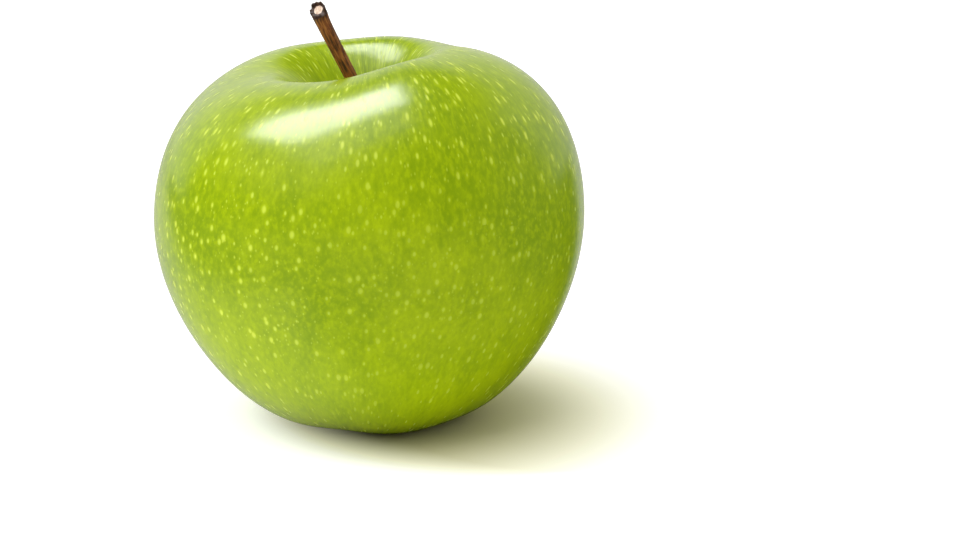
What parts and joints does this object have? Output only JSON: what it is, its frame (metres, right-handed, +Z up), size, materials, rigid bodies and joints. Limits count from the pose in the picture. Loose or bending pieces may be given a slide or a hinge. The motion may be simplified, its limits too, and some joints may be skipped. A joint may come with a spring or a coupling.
{
  "type": "apple",
  "caption": "Whole green apple standing on its base, with a leaning woody stem in the hollow at its crown and the dried flower in the hollow at its base.",
  "frame": {"origin": "middle of the fruit's outline seen from above, at the level that the fruit stands on", "axes": "+Z up along the core, from the base to the crown; +X towards the highest side of the crown, away from the side that the stem leans to; +Y completes the right-handed frame and points away from the side that is seen first"},
  "size_m": [0.078, 0.078, 0.0764],
  "materials": {
    "skin": "satin",
    "stalk_wood": "matte",
    "dried_flower": "matte"
  },
  "bodies": {
    "root": {"fruit": "skin", "stem": "stalk_wood", "sepal_1": "dried_flower", "sepal_2": "dried_flower", "sepal_3": "dried_flower", "sepal_4": "dried_flower", "sepal_5": "dried_flower", "stamen_tuft": "dried_flower"}
  },
  "joints": []
}
